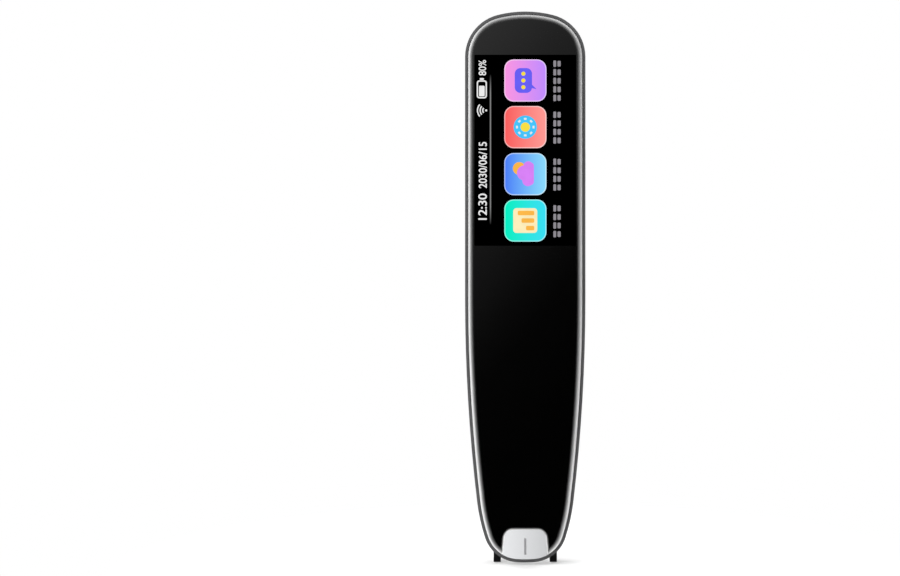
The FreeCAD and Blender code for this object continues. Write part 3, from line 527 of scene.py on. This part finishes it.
def fading_glow(name, colour, start, end, fade):
    """Lit line colour that dies away towards both ends; places are heights above the feet."""
    material, tree, shader = new_material(name)
    share = remap(tree, own_place(tree)[2], height(start), height(end))
    black = (0.0, 0.0, 0.0, 1.0)
    source = ramp(tree, share, [(0.0, black), (fade, colour), (1 - fade, colour), (1.0, black)])
    tree.links.new(source, shader.inputs["Emission Color"])
    shader.inputs["Emission Strength"].default_value = 1.0
    shader.inputs["Base Color"].default_value = black
    shader.inputs["Specular IOR Level"].default_value = 0.0
    return material


def text_plate(name, words, start, end, low, high, layer, material):
    """Plain figures fitted into a stretch of the screen."""
    curve = bpy.data.curves.new(name + "_curve", "FONT")
    curve.body = words
    curve.offset = 0.012
    carrier = bpy.data.objects.new(name + "_carrier", curve)
    bpy.context.scene.collection.objects.link(carrier)
    mesh = bpy.data.meshes.new_from_object(carrier)
    bpy.data.objects.remove(carrier)
    xs = [v.co.x for v in mesh.vertices]
    ys = [v.co.y for v in mesh.vertices]
    for v in mesh.vertices:
        across = start + (end - start) * (v.co.x - min(xs)) / (max(xs) - min(xs))
        up = low + (high - low) * (v.co.y - min(ys)) / (max(ys) - min(ys))
        v.co = screen_point(across, up, layer)
    shape = bmesh.new()
    shape.from_mesh(mesh)
    bmesh.ops.remove_doubles(shape, verts=shape.verts, dist=MM * 0.001)
    faces = list(shape.faces)
    pushed = bmesh.ops.extrude_face_region(shape, geom=faces)
    for item in pushed["geom"]:
        if isinstance(item, bmesh.types.BMVert):
            item.co.y = FACE + GLASS_SINK
    bmesh.ops.recalc_face_normals(shape, faces=shape.faces)
    shape.to_mesh(mesh)
    shape.free()
    mesh.name = name
    return bonded(name, mesh, material)


SCREEN_FOOT = 84.9
SCREEN_HEAD = 135.7
SCREEN_HALF = 13.55

# Words of the status strip with their start, end, foot and head
FIGURES = {
    "clock_figures": ("12:30", 91.8, 98.8, 10.2, 12.5),
    "date_figures": ("2030/06/15", 100.2, 112.5, 10.2, 12.4),
    "charge_figures": ("80%", 130.2, 134.3, 10.4, 12.4),
}
BATTERY_SIGN = (126.5, 11.55)
BATTERY_LEVEL = (126.05, 11.55)
BATTERY_TIP = (129.25, 11.55)
WAVES_ACROSS = 120.9
WAVE_WIDTH = 0.34
DIVIDER_START = 90.5
DIVIDER_END = 130.5
DIVIDER_UP = 9.25


def build_status_strip(white):
    black = glow("screen_black", (0.0004, 0.0004, 0.0004, 1.0), 0.0)
    plate("screen_area", [rounded((SCREEN_FOOT + SCREEN_HEAD) / 2, 0,
                                  SCREEN_HEAD - SCREEN_FOOT, 2 * SCREEN_HALF, 0.3)],
          GROUND, black)
    for name, (words, start, end, low, high) in FIGURES.items():
        text_plate(name, words, start, end, low, high, PRINT, white)
    plate("battery_outline", [rounded(*BATTERY_SIGN, 4.8, 2.7, 0.7),
                              rounded(*BATTERY_TIP, 0.5, 1.1, 0.2)], PRINT, white)
    plate("battery_gap", [rounded(*BATTERY_SIGN, 4.1, 2.0, 0.4)], INLAY, black)
    plate("battery_level", [rounded(*BATTERY_LEVEL, 2.8, 1.5, 0.25)], FIGURE, white)
    waves = [band(WAVES_ACROSS, 10.35, radius, WAVE_WIDTH, 48, 132)
             for radius in (0.95, 1.65, 2.35)]
    plate("signal_waves", waves + [disc(WAVES_ACROSS, 10.4, 0.28)], PRINT, white)
    fade = fading_glow("divider_grey", srgb(126, 126, 126), DIVIDER_START, DIVIDER_END, 0.12)
    plate("divider_line", [rounded((DIVIDER_START + DIVIDER_END) / 2, DIVIDER_UP,
                                   DIVIDER_END - DIVIDER_START, 0.34, 0.15)], PRINT, fade)


ICON = 11.2
ICON_ROUND = 2.5
ICON_UP = -0.03
ICON_BORDER = 0.25
BORDER_PALENESS = 0.55

# Tiles with their middle and the colours of their left and right sides
ICONS = {
    "lower_teal": (91.6, (0, 240, 190), (60, 222, 246)),
    "blue": (103.95, (72, 122, 248), (140, 220, 252)),
    "coral": (116.45, (250, 92, 92), (255, 156, 150)),
    "upper_pink": (128.85, (250, 150, 226), (190, 140, 255)),
}


def paler(colour):
    """A tile's colour as its border shows it."""
    return tuple(round(channel + (255 - channel) * BORDER_PALENESS) for channel in colour)


def build_icon_tiles():
    place = (ICON_UP, ICON / 2)
    inner = ICON - 2 * ICON_BORDER
    for name, (across, left, right) in ICONS.items():
        plate(name + "_tile_border", [rounded(across, ICON_UP, ICON, ICON, ICON_ROUND)], PRINT,
              glow(name + "_border", srgb(*paler(left)), 1.0, srgb(*paler(right)), place))
        plate(name + "_tile",
              [rounded(across, ICON_UP, inner, inner, ICON_ROUND - ICON_BORDER)], INLAY,
              glow(name + "_fill", srgb(*left), 1.0, srgb(*right), place))


def build_bubble(across, yellow):
    """Speech bubble with three dots."""
    tail = [(across - 1.9, -1.2), (across - 0.5, -1.2), (across - 2.3, -3.0)]
    plate("bubble", [rounded(across, 0.5, 6.6, 4.6, 1.5), tail], FIGURE,
          glow("motif_blue", srgb(104, 96, 244)))
    plate("bubble_dots", [disc(across + step, 0.5, 0.55) for step in (-1.8, 0, 1.8)], DETAIL,
          yellow)


def build_dial(across, yellow, white):
    """Round dial with a hub and eight marks."""
    plate("dial", [disc(across, 0, 3.1)], FIGURE, glow("motif_cyan", srgb(70, 196, 250)))
    plate("dial_hub", [disc(across, 0, 1.25)], DETAIL, yellow)
    rays = [band(across, 0, 2.2, 0.5, turn - 9, turn + 9, 4) for turn in range(0, 360, 45)]
    plate("dial_rays", rays, DETAIL, white)


def build_cloud(across, orange):
    """Cloud of three puffs in front of a sun."""
    violet = glow("motif_violet", srgb(216, 130, 246))
    plate("cloud_sun", [disc(across + 1.5, 1.6, 1.7)], FIGURE, orange)
    plate("cloud", [rounded(across + 0.1, -1.4, 6.0, 1.8, 0.9)], DETAIL, violet)
    puffs = [disc(across - 1.7, -0.7, 1.5), disc(across + 0.3, 0.2, 2.0),
             disc(across + 2.1, -0.8, 1.3)]
    for i, puff in enumerate(puffs):
        plate(f"cloud_puff_{i}", [puff], DETAIL + 1 + i, violet)


def build_chart(across, orange):
    """Sheet with three bars."""
    plate("chart_sheet", [rounded(across, 0, 6.6, 6.4, 0.9)], FIGURE,
          glow("motif_cream", srgb(252, 236, 186)))
    bars = [(-2.0, 2.2), (0.0, 3.4), (2.0, 4.4)]
    plate("chart_bars", [rounded(across + step, -2.4 + tall / 2, 1.2, tall, 0.35)
                         for step, tall in bars], DETAIL, orange)


def build_motifs(white):
    """Plain everyday signs on the tiles."""
    yellow = glow("motif_yellow", srgb(246, 222, 70))
    orange = glow("motif_orange", srgb(252, 184, 74))
    build_bubble(ICONS["upper_pink"][0], yellow)
    build_dial(ICONS["coral"][0], yellow, white)
    build_cloud(ICONS["blue"][0], orange)
    build_chart(ICONS["lower_teal"][0], orange)


# First place and number of places of each row of marks under a tile
CAPTIONS = ((88.0, 4), (100.4, 4), (112.9, 4), (124.2, 5))
CAPTION_PITCH = 2.28


def build_captions():
    """Rows of neutral marks under the tiles: two small blocks to a place."""
    grey = glow("caption_grey", srgb(142, 139, 145))
    for index, (start, count) in enumerate(CAPTIONS):
        loops = []
        for step in range(count):
            across = start + CAPTION_PITCH * step
            loops.append(rounded(across, -7.85, 1.7, 0.75, 0.25))
            loops.append(rounded(across, -9.0, 1.5, 0.85, 0.25))
        plate(f"caption_marks_{index}", loops, PRINT, grey)


def build_aiming_mark():
    """Printed aiming line on the clear window."""
    grey = grained("mark_grey", srgb(150, 150, 152), 0.5)
    mark = plate("aiming_line", [rounded(4.9, 0.0, 4.4, 0.62, 0.2)], GROUND, grey)


screen_white = glow("screen_white", srgb(235, 235, 235))
build_status_strip(screen_white)
build_icon_tiles()
build_motifs(screen_white)
build_captions()
build_aiming_mark()


# Floor and light

FLOOR_RADIUS = 170.0         # millimetres
FLOOR_SIDES = 96
FLOOR_DROP = 0.2
SHADOW_START = 55.0
SHADOW_REACH = 120.0


def make_floor():
    """Pale round floor at the feet. The camera sees it white, with the pen's soft shadow near
    the feet; its rim fades out, and mirrored rays pass it by."""
    mesh = bpy.data.meshes.new("floor")
    turns = [2 * math.pi * step / FLOOR_SIDES for step in range(FLOOR_SIDES)]
    mesh.from_pydata([(FLOOR_RADIUS * MM * math.cos(t), FLOOR_RADIUS * MM * math.sin(t),
                       SOLE - FLOOR_DROP * MM) for t in turns], [], [tuple(range(FLOOR_SIDES))])
    floor = bpy.data.objects.new("floor", mesh)
    bpy.context.scene.collection.objects.link(floor)
    material, tree, shader = new_material("floor_white")
    mesh.materials.append(material)
    shader.inputs["Base Color"].default_value = (0.90, 0.90, 0.90, 1.0)
    shader.inputs["Roughness"].default_value = 0.9
    shader.inputs["Specular IOR Level"].default_value = 0.0
    place = add(tree, "ShaderNodeTexCoord")
    length = add(tree, "ShaderNodeVectorMath", operation="LENGTH")
    tree.links.new(place.outputs["Object"], length.inputs[0])
    away = length.outputs["Value"]
    rays = add(tree, "ShaderNodeLightPath")
    lit = math_node(tree, "MULTIPLY", seen_directly(tree, rays),
                    remap(tree, away, SHADOW_START * MM, SHADOW_REACH * MM, 0.4))
    light = add(tree, "ShaderNodeEmission")
    pale = mix_shaders(tree, lit, shader.outputs["BSDF"], light.outputs["Emission"])
    gone = math_node(tree, "MAXIMUM", rays.outputs["Is Glossy Ray"],
                     remap(tree, away, SHADOW_REACH * MM, FLOOR_RADIUS * MM))
    clear = add(tree, "ShaderNodeBsdfTransparent")
    whole = mix_shaders(tree, gone, pale, clear.outputs["BSDF"])
    tree.links.new(whole, tree.nodes["Material Output"].inputs["Surface"])


# What mirrored rays see all round at eye level: turn from straight behind the pen towards the
# card slot's side in degrees, and brightness
AROUND = ((-180, 0.04), (-150, 0.05), (-117, 0.24), (-88, 0.14), (-62, 0.0), (-51, 0.0),
          (-46, 0.26), (-40, 0.56), (-30, 0.66), (-24, 0.72), (-20, 0.42), (-14, 0.10),
          (-8, 0.01), (3, 0.0), (12, 0.20), (26, 0.70), (43, 0.84), (60, 0.62), (82, 0.40),
          (110, 0.18), (135, 0.07), (160, 0.03), (180, 0.04))


def around_the_pen(tree, x, y):
    """Brightness by the turn of a ray that leaves the pen to any side."""
    turn = math_node(tree, "ARCTAN2", math_node(tree, "MULTIPLY", x, -1.0), y)
    share = remap(tree, turn, -math.pi, math.pi)
    return ramp(tree, share, [(degrees / 360 + 0.5, grey) for degrees, grey in AROUND])


# Brightness of the slanted card from its dark corner to its light one
CARD_GREYS = [(0.36, 0.0), (0.40, 0.002), (0.47, 0.014), (0.50, 0.04), (0.56, 0.13),
              (0.642, 0.27), (0.714, 0.50), (0.76, 0.60)]
BESIDE_CARD = (0.03, 0.03, 0.03, 1.0)
LOW_SKY = (0.01, 0.01, 0.01, 1.0)
HIGH_SKY = (0.55, 0.55, 0.55, 1.0)
GROUND_CARD = (0.04, 0.04, 0.04, 1.0)
DOME_STRENGTH = 0.40
MIRROR_STRENGTH = 1.4


def in_front(tree, x, z):
    """The pale narrow card in front of the glass: brightest high on the left, black low on
    the right."""
    slant = math_node(tree, "SUBTRACT", z, math_node(tree, "MULTIPLY", x, 1.2))
    share = remap(tree, slant, -0.5, 0.5)
    card = ramp(tree, share, CARD_GREYS)
    beside = remap(tree, math_node(tree, "ABSOLUTE", x), 0.08, 0.20, kind="SMOOTHSTEP")
    return blend(tree, beside, card, BESIDE_CARD)


def mirrored_studio(tree):
    """The dark and light cards that mirrored rays see, by direction."""
    place = add(tree, "ShaderNodeTexCoord")
    x, y, z = split(tree, place.outputs["Generated"])
    studio = blend(tree, remap(tree, y, -0.97, -0.84, kind="SMOOTHSTEP"),
                   in_front(tree, x, z), around_the_pen(tree, x, y))
    behind_low = math_node(tree, "MULTIPLY", remap(tree, z, 0.10, 0.32, kind="SMOOTHSTEP"),
                           remap(tree, y, -0.3, 0.1))
    studio = blend(tree, behind_low, studio, LOW_SKY)
    studio = blend(tree, remap(tree, z, 0.60, 0.88, kind="SMOOTHSTEP"), studio, HIGH_SKY)
    return blend(tree, remap(tree, z, -0.50, -0.80, kind="SMOOTHSTEP"), studio, GROUND_CARD)


def background(tree, strength):
    """Plain white surroundings of a strength."""
    made = add(tree, "ShaderNodeBackground")
    made.inputs["Color"].default_value = (1.0, 1.0, 1.0, 1.0)
    made.inputs["Strength"].default_value = strength
    return made


def make_world():
    """White to the camera and through glass, a studio with dark and light cards to mirrored
    rays, and a soft even dome to all others."""
    world = bpy.data.worlds.new("studio")
    bpy.context.scene.world = world
    world.use_nodes = True
    tree = world.node_tree
    tree.nodes.clear()
    rays = add(tree, "ShaderNodeLightPath")
    dome = background(tree, DOME_STRENGTH)
    mirror = background(tree, MIRROR_STRENGTH)
    tree.links.new(mirrored_studio(tree), mirror.inputs["Color"])
    white = background(tree, 1.0)
    lit = mix_shaders(tree, rays.outputs["Is Glossy Ray"], dome.outputs["Background"],
                      mirror.outputs["Background"])
    whole = mix_shaders(tree, seen_directly(tree, rays), lit, white.outputs["Background"])
    output = add(tree, "ShaderNodeOutputWorld")
    tree.links.new(whole, output.inputs["Surface"])


PEN_MIDDLE = 75.0            # millimetres above the feet, where the lamps point

# Lamps with their place, width, height and power
SOFTBOXES = {
    "left_front_box": ((-0.55, -0.45, 0.35), 0.30, 0.50, 5.0),
    "right_back_box": ((0.60, 0.50, 0.25), 0.12, 0.60, 4.0),
    "left_back_box": ((-0.60, 0.45, 0.25), 0.20, 0.60, 5.0),
    "top_box": ((0.0, 0.05, 0.75), 0.50, 0.50, 4.0),
}


def softbox(name, place, aim, wide, tall, power):
    """A lamp that lights the pen but doesn't show, in its paint or glass either."""
    data = bpy.data.lights.new(name, "AREA")
    data.shape = "RECTANGLE"
    data.size = wide
    data.size_y = tall
    data.energy = power
    lamp = bpy.data.objects.new(name, data)
    bpy.context.scene.collection.objects.link(lamp)
    lamp.location = place
    direction = Vector(aim) - Vector(place)
    lamp.rotation_euler = direction.to_track_quat("-Z", "Z").to_euler()
    lamp.visible_camera = False
    lamp.visible_glossy = False


def light_studio():
    middle = (0.0, 0.0, height(PEN_MIDDLE))
    for name, (place, wide, tall, power) in SOFTBOXES.items():
        softbox(name, place, middle, wide, tall, power)


make_floor()
make_world()
light_studio()

bpy.context.scene.view_settings.view_transform = "Standard"
